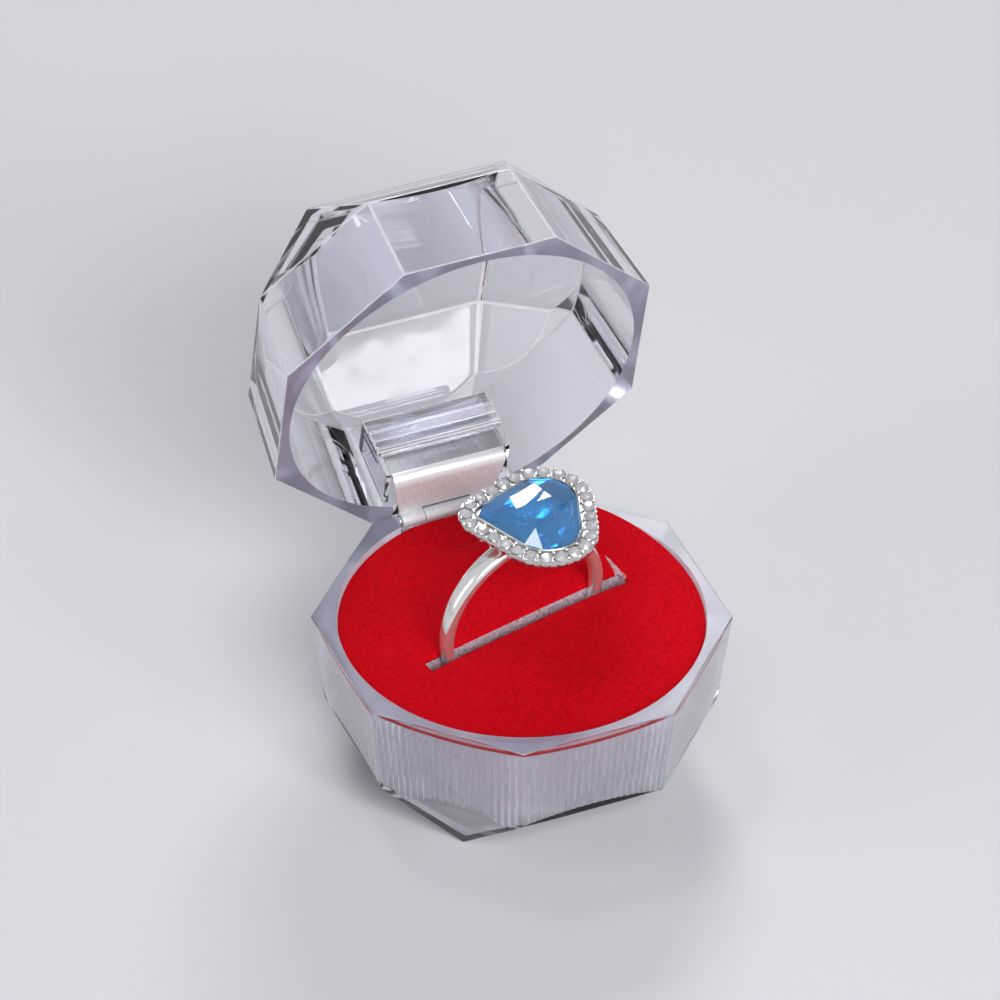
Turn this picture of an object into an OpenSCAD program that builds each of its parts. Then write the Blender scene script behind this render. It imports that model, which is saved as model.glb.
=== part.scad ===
// Ring display box: a clear octagonal box in two mirrored halves, joined by a
// sheet-metal hinge, with a slotted flocked pad in the base and a ring in the slot.
// It stands open. Z = 0 is the foot, +Y is the hinge side.

/* [Shell] */
// Width across the flats of the octagonal rim
across_flats = 40; // [39.6:0.1:42]
// Height of each half, from its rim to its flat table
half_h = 18.2; // [17.8:0.1:20]
// Height of the straight wall, from the rim to the slanted facets
wall_h = 11; // [10.8:0.1:11.6]
// How far the wall leans in over that height
wall_draft = 1.25; // [1:0.05:1.4]
// Side of the square table: the foot of the base, the top of the lid
table_side = 22; // [20:0.5:23]
// Diameter of the round cavity at the rim
cavity_d = 38; // [37.8:0.1:38.2]
// Thickness of the floor and of the ceiling
floor_t = 1.2; // [1:0.1:1.5]
// Number of fine upright ribs inside the base wall
rib_count = 150; // [120:10:180]
// Depth of each rib
rib_depth = 0.3; // [0.2:0.05:0.4]

/* [Hinge] */
// How far the lid stands open, in degrees from closed
open_angle = 77; // [60:1:90]
// Half the width of the hinge sheet at its bend
sheet_half_w = 6.2; // [5.8:0.1:6.3]
// Half the width of the hinge sheet at its pin
neck_half_w = 5.3; // [5:0.1:5.5]
// Thickness of the hinge sheet
sheet_t = 0.3; // [0.25:0.01:0.35]
// Radius of the hinge pin
pin_r = 0.4; // [0.35:0.01:0.45]
// Outer radius of the knuckles rolled round the pin
knuckle_r = 0.8; // [0.75:0.01:0.85]
// Depth of the pin's axis below the rim of the base
pin_drop = 0.7; // [0.65:0.01:0.8]

/* [Pad] */
// Depth of the pad's top below the rim
pad_drop = 0.55; // [0.5:0.05:0.7]
// Thickness of the flocked cover
cover_t = 0.65; // [0.5:0.05:0.8]
// Length of the slot that holds the ring
slot_len = 24.4; // [23:0.2:26]
// Width of the slot
slot_w = 1.5; // [1.4:0.1:2]
// Turn of the pad and its slot from the hinge line, in degrees
pad_turn = 12; // [0:1:15]

/* [Ring] */
// Outer radius of the ring's band
band_r = 9.95; // [9.5:0.05:10.2]
// Inside diameter of the band
finger_d = 17.4; // [16.5:0.1:18]
// Height of the band's centre above the rim
band_lift = 1.5; // [1:0.1:1.8]
// Number of small stones round the middle stone
halo_count = 26; // [20:1:26]

/* [Hidden] */
$fn = 96;

// Shell
rim_z = half_h;
rim_apothem = across_flats / 2;
edge_apothem = rim_apothem - wall_draft;
table_half = table_side / 2;
table_round = 0.8;             // radius of the table's corners
cavity_r = cavity_d / 2;
skin = [0.8, 0.5, 1.3];        // how far the cavity's facets lie inside the outer ones: edge, height, table
cut = 1;                       // overshoot of every cut
rib_start = 1.2;               // plain band above the ribs
rib_flat = 0.06;               // the outline dips this far inside the wall, so each rib keeps a flat top
lid_gap = 0.1;                 // between the two rims when the lid is closed

// Hinge: the pin lies near the back face, just below the rim
hinge_y = rim_apothem - 0.25;
hinge_z = rim_z - pin_drop;
turn_gap = 0.04;               // running clearance of the lid's knuckles on the pin
knuckle_x = 2.7;               // half the length of the base's knuckle
knuckle_gap = 0.1;
bend_r = 0.5;                  // inner radius of the sheet's bend
web_z = [-0.2, -0.2 + sheet_t];  // the sheet's web, from the rim plane, when closed
leaf_y = 13.7;                 // front face of the sheet inside the lid
leaf_top = 6.8;
base_leaf_y = 18.4;
base_leaf_half_w = 4.8;
base_leaf_low = -6.5;
notch_half_w = 6;
notch_y = 17.6;
pin_half_len = neck_half_w + 0.05;
pin_head = [0.65, 0.25];       // radius, thickness

// Pocket in the lid that grips the sheet: half width, front, back, bottom, top
pocket_half_w = 7;
pocket_y = [12.6, 18.6];
pocket_z = [3.3, 7.7];
pocket_wall = 0.65;
guide_low = 0.7;
slip = 0.05;                   // clearance round the sheet in its slots
ledge_ribs = [3.5, 4.6, 5.7];
ledge_rib = [0.25, 0.35];      // how far each stands out, and its height

// Pad
board_z = [-11.05, -10.55];    // its edge rests on the cavity's facets
board_r = 17.2;
foam_r = [17.65, 18.6];        // at its bottom, at its top
cover_r = 18.75;
cover_z = [-pad_drop - cover_t, -pad_drop];
slot_bottom = band_lift - band_r - 0.02;  // the band stands on the slot's floor
slot_at = [0.2, -0.65];
pad_back = base_leaf_y - 0.15; // the pad is cut straight here, in front of the hinge leaf

// Ring: the middle stone's outline is wrapped round three discs, [x, y, r] from the band's axis
ring_shift = -0.6;             // along the slot, from its middle
stone_discs = [[1.3, -2.45, 3.3], [3.6, 1.65, 3.35], [-2.05, 2.95, 1.2]];
band_half_w = [0.6, 1.15];     // at the pad, at the top
plate_z = [12.2, 13.2];
plate_edge = 2.2;              // outline of the head, outside the middle stone's
halo_offset = 1.2;
halo_r = 0.72;
halo_h = [0.25, 0.3];          // girdle, crown
bead_r = 0.18;
bead_offset = 0.65;
bezel_t = 0.25;
gallery_t = 0.8;

// ---- shell ----

function rim_octagon(apothem, z) =
    [for (i = [0:7]) let (a = 22.5 + 45 * i, r = apothem / cos(22.5)) [r * cos(a), r * sin(a), z]];

function table_corners(half, z) =
    [for (k = [0:3]) let (a = 45 + 90 * k) [sqrt(2) * half * cos(a), sqrt(2) * half * sin(a), z]];

// The same square with rounded corners, four points to a corner
function rounded_corners(half, r, z) =
    [for (k = [0:3], n = [0:3]) let (a = 45 + 90 * k, b = 90 * k + 30 * n)
        [sqrt(2) * (half - r) * cos(a) + r * cos(b), sqrt(2) * (half - r) * sin(a) + r * sin(b), z]];

// The octagon's corner i, moved along the ridge that joins it to the table, to height z
function on_ridge(octagon, corners, i, z) =
    let (corner = corners[floor(i / 2)], start = octagon[i])
    corner + (start - corner) * (corner[2] - z) / (corner[2] - start[2]);

// A solid from an octagon, up past a second octagon, to a square turned 45 degrees
// whose corners have one point or four
module faceted(low, mid, top) {
    m = len(top) / 4;
    polyhedron(
        points = concat(low, mid, top),
        faces = concat(
            [[for (i = [0:7]) i]],
            [for (i = [0:7]) let (j = (i + 1) % 8) [i, i + 8, j + 8, j]],
            [for (k = [0:3]) let (a = 2 * k + 8, p = 16 + m * k)
                m == 1 ? [a, p, a + 1] : [a, p + 1, p + 2, a + 1]],
            [for (k = [0:3], side = [0:1]) let (a = 2 * k + 8 + side, p = 16 + m * k + 2 * side)
                if (m == 4) [a, p, p + 1]],
            [for (k = [0:3]) [2 * k + 9, 16 + m * k + m - 1, 16 + m * ((k + 1) % 4), (2 * k + 2) % 8 + 8]],
            [[for (i = [4 * m - 1:-1:0]) 16 + i]]
        )
    );
}

// The outside of one half, rim at z = 0, table at z = half_h
module half_outside() {
    faceted(rim_octagon(rim_apothem, 0), rim_octagon(edge_apothem, wall_h),
            rounded_corners(table_half, table_round, half_h));
}

// The facets that close the cavity, without its round wall
module cavity_facets() {
    edge = rim_octagon(edge_apothem - skin[0], wall_h - skin[1]);
    corners = table_corners(table_half - skin[2], half_h - floor_t);
    spread = [for (i = [0:7]) on_ridge(edge, corners, i, wall_h / 2)];
    faceted([for (p = spread) [p[0], p[1], -cut]], spread, corners);
}

function wall_r(z) = cavity_r - wall_draft * z / wall_h;

module plain_cavity() {
    intersection() {
        translate([0, 0, -cut]) cylinder(h = half_h, r1 = wall_r(-cut), r2 = wall_r(half_h - cut));
        cavity_facets();
    }
}

// Fine upright ribs: a cog-like outline that tapers with the wall
module rib_grooves() {
    top_r = wall_r(rib_start);
    height = half_h - rib_start;
    intersection() {
        translate([0, 0, rib_start])
            linear_extrude(height = height, scale = wall_r(half_h) / top_r)
                polygon([for (i = [0:2 * rib_count - 1])
                    let (a = 180 * (i + 0.5) / rib_count, r = top_r + (i % 2 ? rib_depth : -rib_flat))
                    [r * cos(a), r * sin(a)]]);
        cavity_facets();
    }
}

// ---- hinge ----

// Puts what is drawn closed, with the rim at z = 0, in its open place
module in_lid() {
    translate([0, hinge_y, hinge_z]) rotate([-open_angle, 0, 0])
        translate([0, -hinge_y, pin_drop]) children();
}

module block(x, y, z) {
    translate([x[0], y[0], z[0]]) cube([x[1] - x[0], y[1] - y[0], z[1] - z[0]]);
}

// Draws a (y, z) outline and gives it a length along x
module along_x(x) {
    translate([x[0], 0, 0]) rotate([90, 0, 90]) linear_extrude(height = x[1] - x[0]) children();
}

module knuckle(x, bore) {
    along_x(x) translate([hinge_y, -pin_drop]) difference() {
        circle(r = knuckle_r);
        circle(r = bore);
    }
}

module lid_sheet_outline() {
    bend_y = leaf_y + sheet_t + bend_r;
    bend_z = web_z[1] + bend_r;
    translate([leaf_y, bend_z]) square([sheet_t, leaf_top - bend_z]);
    translate([bend_y, web_z[0]]) square([hinge_y - bend_y, sheet_t]);
    intersection() {
        translate([bend_y, bend_z]) difference() {
            circle(r = bend_r + sheet_t);
            circle(r = bend_r);
        }
        translate([leaf_y, web_z[0]]) square(bend_r + sheet_t);
    }
}

// ---- pad ----

module in_base() { translate([0, 0, rim_z]) children(); }

module in_pad() { in_base() rotate([0, 0, pad_turn]) children(); }

module pad_slot() {
    in_base() translate([slot_at[0], slot_at[1], slot_bottom]) rotate([0, 0, pad_turn])
        translate([-slot_len / 2, -slot_w / 2, 0]) cube([slot_len, slot_w, half_h]);
}

module pad_back_cut() {
    in_base() block([-cavity_r, cavity_r], [pad_back, cavity_r + cut], [-half_h, half_h]);
}

// ---- ring ----

module in_ring() {
    translate([slot_at[0], slot_at[1], rim_z]) rotate([0, 0, pad_turn])
        translate([ring_shift, 0, 0]) children();
}

function wrap(i) = (i + 3) % 3;
function span(i) = let (a = stone_discs[i], b = stone_discs[wrap(i + 1)]) [b[0] - a[0], b[1] - a[1]];
function step_r(i) = stone_discs[i][2] - stone_discs[wrap(i + 1)][2];

// Direction of the outward normal of the straight side that follows disc i
function side_angle(i) = atan2(span(i)[1], span(i)[0]) - acos(step_r(i) / norm(span(i)));
function arc_turn(i) = (side_angle(i) - side_angle(wrap(i - 1)) + 720) % 360;
function arc_len(i, g) = (stone_discs[i][2] + g) * arc_turn(i) * PI / 180;
function side_len(i) = sqrt(pow(norm(span(i)), 2) - pow(step_r(i), 2));
function part_len(i, g) = arc_len(i, g) + side_len(i);
function outline_len(g) = part_len(0, g) + part_len(1, g) + part_len(2, g);

function at_angle(i, a, r) = [stone_discs[i][0] + r * cos(a), stone_discs[i][1] + r * sin(a)];

// The point a distance s along the outline that lies g outside the middle stone,
// pushed out by a further push
function outline_point(s, g, push = 0, i = 0) =
    s > part_len(i, g) && i < 2 ? outline_point(s - part_len(i, g), g, push, i + 1)
    : s <= arc_len(i, g)
        ? at_angle(i, side_angle(wrap(i - 1)) + arc_turn(i) * s / arc_len(i, g),
                   stone_discs[i][2] + g + push)
        : let (t = (s - arc_len(i, g)) / side_len(i))
          at_angle(i, side_angle(i), stone_discs[i][2] + g + push) * (1 - t)
          + at_angle(wrap(i + 1), side_angle(i), stone_discs[wrap(i + 1)][2] + g + push) * t;

module stone_outline(g, sides = 40) {
    hull() for (d = stone_discs) translate([d[0], d[1]]) circle(r = d[2] + g, $fn = sides);
}

module slab(z, g) {
    translate([0, 0, z[0]]) linear_extrude(height = z[1] - z[0]) stone_outline(g);
}

module halo_place(push = 0, phase = 0) {
    pitch = outline_len(halo_offset) / halo_count;
    for (n = [0:halo_count - 1])
        translate(concat(outline_point((n + phase) * pitch, halo_offset, push), [plate_z[1]]))
            children();
}

// ---- the pieces ----

module base_shell() {
    color([0.84, 0.85, 0.93, 0.4]) difference() {
        in_base() mirror([0, 0, 1]) half_outside();
        in_base() mirror([0, 0, 1]) plain_cavity();
        in_base() mirror([0, 0, 1]) rib_grooves();
        in_base() block([-notch_half_w, notch_half_w], [notch_y, rim_apothem + cut],
                        [-pin_drop - knuckle_r - 0.35, cut]);
        in_base() block([-base_leaf_half_w - slip, base_leaf_half_w + slip],
                        [base_leaf_y - slip, base_leaf_y + sheet_t + slip],
                        [base_leaf_low - slip, cut]);
    }
}

module base_hinge_leaf() {
    low_z = -pin_drop - knuckle_r;
    color([0.75, 0.75, 0.76]) in_base() {
        block([-base_leaf_half_w, base_leaf_half_w], [base_leaf_y, base_leaf_y + sheet_t],
              [base_leaf_low, low_z + sheet_t]);
        difference() {
            union() {
                knuckle([-knuckle_x, knuckle_x], pin_r);
                block([-knuckle_x, knuckle_x], [base_leaf_y, hinge_y], [low_z, low_z + sheet_t]);
            }
            along_x([-knuckle_x - cut, knuckle_x + cut])
                translate([hinge_y, -pin_drop]) circle(r = pin_r);
        }
    }
}

module hinge_pin() {
    color([0.7, 0.7, 0.72]) in_base() {
        along_x([-pin_half_len, pin_half_len]) translate([hinge_y, -pin_drop]) circle(r = pin_r);
        for (x = [[-pin_half_len - pin_head[1], -pin_half_len], [pin_half_len, pin_half_len + pin_head[1]]])
            along_x(x) translate([hinge_y, -pin_drop]) circle(r = pin_head[0]);
    }
}

module pad_board() {
    color([0.9, 0.89, 0.86]) in_base()
        translate([0, 0, board_z[0]]) cylinder(h = board_z[1] - board_z[0], r = board_r);
}

module pad_foam() {
    color([0.93, 0.92, 0.93]) difference() {
        in_base() translate([0, 0, board_z[1]])
            cylinder(h = cover_z[0] - board_z[1], r1 = foam_r[0], r2 = foam_r[1]);
        pad_slot();
        pad_back_cut();
    }
}

module pad_cover() {
    color([0.78, 0.02, 0.06]) difference() {
        in_base() translate([0, 0, cover_z[0]]) cylinder(h = cover_t, r = cover_r);
        pad_slot();
        pad_back_cut();
    }
}

module lid_shell() {
    color([0.84, 0.85, 0.93, 0.4]) in_lid() difference() {
        union() {
            difference() {
                translate([0, 0, lid_gap]) half_outside();
                translate([0, 0, lid_gap]) plain_cavity();
            }
            hinge_pocket();
        }
        block([-notch_half_w, notch_half_w], [notch_y, rim_apothem + cut], [-cut, web_z[1] + 0.35]);
        block([-sheet_half_w - slip, sheet_half_w + slip],
              [leaf_y - slip, leaf_y + sheet_t + slip], [-cut, leaf_top + slip]);
    }
}

// A ribbed ledge, two cheeks and a lip, which hold the hinge sheet in the lid
module hinge_pocket() {
    inner = pocket_half_w - pocket_wall;
    ledge_back = leaf_y - slip;
    lip_front = leaf_y + sheet_t + slip;
    block([-pocket_half_w, pocket_half_w], [pocket_y[0], ledge_back], pocket_z);
    block([-pocket_half_w, pocket_half_w], pocket_y, [pocket_z[1] - pocket_wall, pocket_z[1]]);
    block([-pocket_half_w, pocket_half_w], [lip_front, lip_front + 0.5], pocket_z);
    for (side = [[-pocket_half_w, -inner], [inner, pocket_half_w]])
        block(side, [ledge_back - 0.3, pocket_y[1]], [guide_low, pocket_z[1]]);
    for (z = ledge_ribs)
        block([-pocket_half_w, pocket_half_w], [pocket_y[0] - ledge_rib[0], pocket_y[0]],
              [z, z + ledge_rib[1]]);
}

module lid_hinge_leaf() {
    color([0.75, 0.75, 0.76]) in_lid() difference() {
        intersection() {
            union() {
                along_x([-sheet_half_w, sheet_half_w]) lid_sheet_outline();
                knuckle([-neck_half_w, neck_half_w], pin_r + turn_gap);
            }
            // seen from above, the sheet narrows from its bend to the pin
            translate([0, 0, -half_h]) linear_extrude(height = 2 * half_h)
                polygon([[-sheet_half_w, leaf_y], [sheet_half_w, leaf_y], [sheet_half_w, leaf_y + 0.8],
                         [neck_half_w, hinge_y - knuckle_r], [neck_half_w, hinge_y + knuckle_r + cut],
                         [-neck_half_w, hinge_y + knuckle_r + cut], [-neck_half_w, hinge_y - knuckle_r],
                         [-sheet_half_w, leaf_y + 0.8]]);
        }
        block([-knuckle_x - knuckle_gap, knuckle_x + knuckle_gap],
              [hinge_y - knuckle_r - 0.2, hinge_y + knuckle_r + cut], [-half_h, cut]);
        along_x([-sheet_half_w, sheet_half_w])
            translate([hinge_y, -pin_drop]) circle(r = pin_r + turn_gap);
    }
}

module ring_band() {
    color([0.8, 0.8, 0.8]) in_ring() {
        intersection() {
            translate([0, 0, band_lift]) rotate([90, 0, 0]) difference() {
                cylinder(h = 4, r = band_r, center = true);
                cylinder(h = 4 + cut, r = finger_d / 2, center = true);
            }
            // narrow inside the pad, wider towards the head
            along_x([-band_r - cut, band_r + cut]) polygon([
                [-band_half_w[0], -band_r], [band_half_w[0], -band_r], [band_half_w[0], 0],
                [band_half_w[1], plate_z[0]], [-band_half_w[1], plate_z[0]], [-band_half_w[0], 0]]);
        }
        difference() {
            slab([finger_d / 2 + band_lift + 0.4, plate_z[0]], -0.2);
            slab([0, plate_z[1]], -0.2 - gallery_t);
            translate([0, 0, band_lift]) rotate([90, 0, 0])
                cylinder(h = 4 * band_r, r = finger_d / 2, center = true);
        }
    }
}

module ring_head() {
    color([0.8, 0.8, 0.8]) in_ring() difference() {
        slab(plate_z, plate_edge);
        slab([0, half_h], -0.35);
    }
}

module ring_bezel() {
    color([0.8, 0.8, 0.8]) in_ring() difference() {
        slab([plate_z[1], plate_z[1] + 0.5], bezel_t + 0.02);
        slab([0, half_h], 0.02);
    }
}

module ring_middle_stone() {
    girdle_z = [plate_z[1], plate_z[1] + 0.25];
    color([0.05, 0.42, 0.8]) in_ring() {
        hull() {
            slab(girdle_z, 0);
            translate([0, 0, girdle_z[1]]) linear_extrude(height = 1)
                translate([0.35, 0.05]) scale(0.58) stone_outline(0);
        }
        hull() {
            translate([0, 0, girdle_z[0] - 0.02]) linear_extrude(height = 0.04) stone_outline(-0.4);
            translate([0.9, 0.7, girdle_z[0] - 1.6]) cylinder(h = 0.1, r = 0.5, $fn = 24);
        }
    }
}

module ring_halo_stones() {
    color([0.94, 0.94, 0.96]) in_ring() halo_place() {
        cylinder(h = halo_h[0], r = halo_r, $fn = 24);
        translate([0, 0, halo_h[0]]) cylinder(h = halo_h[1], r1 = halo_r, r2 = 0.6 * halo_r, $fn = 24);
    }
}

module ring_halo_beads() {
    color([0.8, 0.8, 0.8]) in_ring() for (side = [-1, 1])
        halo_place(side * bead_offset, 0.5) {
            cylinder(h = halo_h[0] + 0.1, r = bead_r, $fn = 16);
            translate([0, 0, halo_h[0] + 0.1]) cylinder(h = 0.12, r1 = bead_r, r2 = 0.08, $fn = 16);
        }
}

base_shell();
base_hinge_leaf();
hinge_pin();
pad_board();
pad_foam();
pad_cover();
lid_shell();
lid_hinge_leaf();
ring_band();
ring_head();
ring_bezel();
ring_middle_stone();
ring_halo_stones();
ring_halo_beads();
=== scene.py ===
"""Dresses the clear octagonal ring box: shells, sheet hinge, flocked pad and halo ring.

Lengths are in millimetres until a mesh is made, and the rim plane is z = 0 in most functions.
"""
import math

import bmesh
import bpy
from mathutils import Matrix, Vector, noise


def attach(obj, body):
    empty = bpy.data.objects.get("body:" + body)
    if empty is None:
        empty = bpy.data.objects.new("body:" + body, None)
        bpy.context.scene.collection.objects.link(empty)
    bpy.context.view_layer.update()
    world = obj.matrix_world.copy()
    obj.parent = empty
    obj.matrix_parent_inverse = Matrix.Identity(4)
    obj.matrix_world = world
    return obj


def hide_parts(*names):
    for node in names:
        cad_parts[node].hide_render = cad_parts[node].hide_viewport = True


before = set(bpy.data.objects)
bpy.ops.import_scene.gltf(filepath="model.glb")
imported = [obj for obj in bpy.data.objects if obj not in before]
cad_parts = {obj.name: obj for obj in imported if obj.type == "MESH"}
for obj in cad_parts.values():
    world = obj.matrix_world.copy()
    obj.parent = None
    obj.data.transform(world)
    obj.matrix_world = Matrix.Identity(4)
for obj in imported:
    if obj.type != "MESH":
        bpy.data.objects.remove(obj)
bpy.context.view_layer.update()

MM = 0.001

# ---- sizes, the same as the parts' own ----
HALF_H = 18.2
RIM_APOTHEM = 20.0
EDGE_APOTHEM = 18.75
WALL_H = 11.0
TABLE_HALF = 11.0
CAVITY_R = 19.0
WALL_DRAFT = 1.25
FLOOR_T = 1.2
SKIN = (0.8, 0.5, 1.3)
LID_GAP = 0.1
OPEN_ANGLE = 77.0
HINGE_Y, HINGE_Z = 19.75, -0.7
SHEET_T = 0.3
SHEET_HALF_W, NECK_HALF_W = 6.2, 5.3
LEAF_Y, LEAF_TOP = 13.7, 6.8
WEB_Z = (-0.2, 0.1)
PIN_R, KNUCKLE_R = 0.4, 0.8
KNUCKLE_X = 2.7
RIB_COUNT = 150
RIB_DEPTH = 0.2
PAD_TOP = -0.55
PAD_R = 18.88
SLOT_AT = (0.2, -0.65)
SLOT_LEN, SLOT_W = 24.4, 1.5
PAD_TURN = 12.0
RING_SHIFT = -0.6
BAND_R, FINGER_R, BAND_LIFT = 9.95, 8.7, 1.5
STONE_DISCS = ((1.3, -2.45, 3.3), (3.6, 1.65, 3.35), (-2.05, 2.95, 1.2))
PLATE_Z = (12.2, 13.2)
HALO_OFFSET = 1.2
HALO_COUNT = 26
BASE_LEAF_Y, BASE_LEAF_HALF_W, BASE_LEAF_LOW = (18.4, 18.7), 4.8, -6.5
PIN_HALF_LEN, PIN_HEAD_R, PIN_HEAD_T, PIN_HEADS_X = 5.4, 0.65, 0.25, (-5.6, 5.35)
BORE_GAP = 0.04

# ---- sizes of the finish alone ----
EDGE_ROUND, CAVITY_ROUND = 0.17, 0.2
GROOVES_FROM, GROOVES_FULL = 1.7, 3.6
BEND_MIDDLE_R = 1.1
# Heights that split the lid's sheet into painted shade above, a painted highlight on the bend and painted
# light below.
LEAF_SHADE_ABOVE, BEND_HIGHLIGHT_ABOVE = 1.1, 0.13
PAD_STEP = 0.25
PAD_BACK = 18.34
SWELL_DOME, SWELL_BEHIND, SWELL_AT, SWELL_SPREAD = 0.8, 1.6, (9.5, 12.5), 98
BEAD_R, SMALL_STONE_R, BEAD_ROW_PUSH = 0.2, 0.76, 0.65
LIGHTS_AIM = (0, 0, 0.03)

IN_BASE = Matrix.Translation((0, 0, HALF_H))
IN_LID = (IN_BASE @ Matrix.Translation((0, HINGE_Y, HINGE_Z))
          @ Matrix.Rotation(math.radians(-OPEN_ANGLE), 4, "X")
          @ Matrix.Translation((0, -HINGE_Y, -HINGE_Z)))
IN_PAD = (IN_BASE @ Matrix.Translation((SLOT_AT[0], SLOT_AT[1], 0))
          @ Matrix.Rotation(math.radians(PAD_TURN), 4, "Z"))
IN_RING = IN_PAD @ Matrix.Translation((RING_SHIFT, 0, 0))


# ---- stage ----

def place_camera():
    """A long lens from above the front left."""
    azimuth, elevation, roll = math.radians(-23.26), math.radians(39.07), math.radians(0.65)
    back = Vector((math.sin(azimuth) * math.cos(elevation), -math.cos(azimuth) * math.cos(elevation),
                   math.sin(elevation)))
    right = Vector((math.cos(azimuth), math.sin(azimuth), 0))
    up = back.cross(right)
    spot = back * 819.5 + right * -2.375 + up * 11.89 + Vector((0, 0, HALF_H))
    tilted_right = right * math.cos(roll) + up * math.sin(roll)
    tilted_up = up * math.cos(roll) - right * math.sin(roll)
    data = bpy.data.cameras.new("camera")
    data.lens, data.sensor_width = 288, 36
    data.clip_start, data.clip_end = 0.01, 50
    camera = bpy.data.objects.new("camera", data)
    turn = Matrix((tilted_right, tilted_up, back)).transposed().to_4x4()
    camera.matrix_world = Matrix.Translation(spot * MM) @ turn
    bpy.context.scene.collection.objects.link(camera)
    bpy.context.scene.camera = camera


def new_material(name):
    """A node material, with its nodes, its links and its main shader."""
    material = bpy.data.materials.new(name)
    material.use_nodes = True
    nodes = material.node_tree.nodes
    return material, nodes, material.node_tree.links, nodes["Principled BSDF"]


def noise_on(nodes, links, scale, detail=4.0, stretch=(1, 1, 1), roughness=0.6):
    """Noise on the piece's own coordinates, in millimetres."""
    where = nodes.new("ShaderNodeTexCoord")
    mapping = nodes.new("ShaderNodeMapping")
    mapping.inputs["Scale"].default_value = [1000 * s for s in stretch]
    grain = nodes.new("ShaderNodeTexNoise")
    grain.inputs["Scale"].default_value = scale
    grain.inputs["Detail"].default_value = detail
    grain.inputs["Roughness"].default_value = roughness
    links.new(where.outputs["Object"], mapping.inputs["Vector"])
    links.new(mapping.outputs["Vector"], grain.inputs["Vector"])
    return grain.outputs["Fac"]


def ramp_of(nodes, links, source, stops):
    """A colour ramp with the given stops."""
    ramp = nodes.new("ShaderNodeValToRGB")
    elements = ramp.color_ramp.elements
    while len(elements) < len(stops):
        elements.new(0.5)
    for element, (at, colour) in zip(elements, stops):
        element.position = at
        element.color = colour if len(colour) == 4 else (*colour, 1)
    links.new(source, ramp.inputs["Fac"])
    return ramp.outputs["Color"]


def range_of(nodes, links, source, low, high, start=0.3, end=0.7):
    """Spreads a value between start and end over low to high."""
    spread = nodes.new("ShaderNodeMapRange")
    spread.inputs["From Min"].default_value, spread.inputs["From Max"].default_value = start, end
    spread.inputs["To Min"].default_value, spread.inputs["To Max"].default_value = low, high
    links.new(source, spread.inputs["Value"])
    return spread.outputs["Result"]


def bump_from(nodes, links, shader, source, depth_mm, strength=1.0):
    """Small relief of the given depth."""
    bump = nodes.new("ShaderNodeBump")
    bump.inputs["Strength"].default_value = strength
    bump.inputs["Distance"].default_value = depth_mm * MM
    links.new(source, bump.inputs["Height"])
    links.new(bump.outputs["Normal"], shader.inputs["Normal"])


def matt_surface(name, colour):
    """A plain matt finish for the floor."""
    material, _, _, shader = new_material(name)
    shader.inputs["Base Color"].default_value = (*colour, 1)
    shader.inputs["Roughness"].default_value = 0.9
    shader.inputs["Specular IOR Level"].default_value = 0.1
    return material


def build_stage():
    """A pale floor, a dim room, and five soft boxes."""
    floor_mesh = bpy.data.meshes.new("floor")
    side = 3.0
    floor_mesh.from_pydata([(-side, -side, -0.0001), (side, -side, -0.0001), (side, side, -0.0001),
                            (-side, side, -0.0001)], [], [(0, 1, 2, 3)])
    floor = bpy.data.objects.new("floor", floor_mesh)
    floor.data.materials.append(matt_surface("pale_floor", (0.74, 0.74, 0.77)))
    bpy.context.scene.collection.objects.link(floor)

    world = bpy.data.worlds.new("soft_room")
    bpy.context.scene.world = world
    world.use_nodes = True
    nodes, links = world.node_tree.nodes, world.node_tree.links
    room = nodes["Background"]
    room.inputs["Strength"].default_value = 1.0
    where = nodes.new("ShaderNodeTexCoord")
    height = nodes.new("ShaderNodeSeparateXYZ")
    links.new(where.outputs["Generated"], height.inputs[0])
    walls = ((0.0, (0.55, 0.55, 0.60)), (0.25, (0.30, 0.30, 0.34)), (0.75, (0.07, 0.07, 0.09)))
    links.new(ramp_of(nodes, links, height.outputs["Z"], walls), room.inputs["Color"])
    seen = nodes.new("ShaderNodeBackground")
    seen.inputs["Color"].default_value = (0.66, 0.66, 0.69, 1)
    seen.inputs["Strength"].default_value = 1.0
    path = nodes.new("ShaderNodeLightPath")
    choice = nodes.new("ShaderNodeMixShader")
    shown = path.outputs["Is Camera Ray"]
    for ray in ("Is Glossy Ray", "Is Transmission Ray"):
        either = nodes.new("ShaderNodeMath")
        either.operation = "MAXIMUM"
        links.new(shown, either.inputs[0])
        links.new(path.outputs[ray], either.inputs[1])
        shown = either.outputs[0]
    links.new(shown, choice.inputs[0])
    links.new(room.outputs[0], choice.inputs[1])
    links.new(seen.outputs[0], choice.inputs[2])
    links.new(choice.outputs[0], nodes["World Output"].inputs["Surface"])

    def soft_box(name, spot, size, power):
        data = bpy.data.lights.new(name, "AREA")
        data.shape = "RECTANGLE"
        data.size, data.size_y = size
        data.energy = power
        lamp = bpy.data.objects.new(name, data)
        spot, aim = Vector(spot), Vector(LIGHTS_AIM)
        turn = (aim - spot).to_track_quat("-Z", "Y").to_matrix().to_4x4()
        lamp.matrix_world = Matrix.Translation(spot) @ turn
        bpy.context.scene.collection.objects.link(lamp)

    soft_box("front_box", (-0.06, -0.58, 0.50), (0.36, 0.26), 3.5)
    soft_box("low_box", (0.26, -0.74, 0.30), (0.20, 0.16), 1.3)
    soft_box("top_box", (-0.12, 0.28, 0.86), (0.17, 0.17), 0.7)
    soft_box("back_box", (0.28, 0.64, 0.58), (0.28, 0.19), 3.0)
    soft_box("left_box", (-0.60, 0.05, 0.30), (0.22, 0.40), 0.6)
    bpy.context.scene.view_settings.view_transform = "Standard"


# ---- mesh helpers ----

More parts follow.
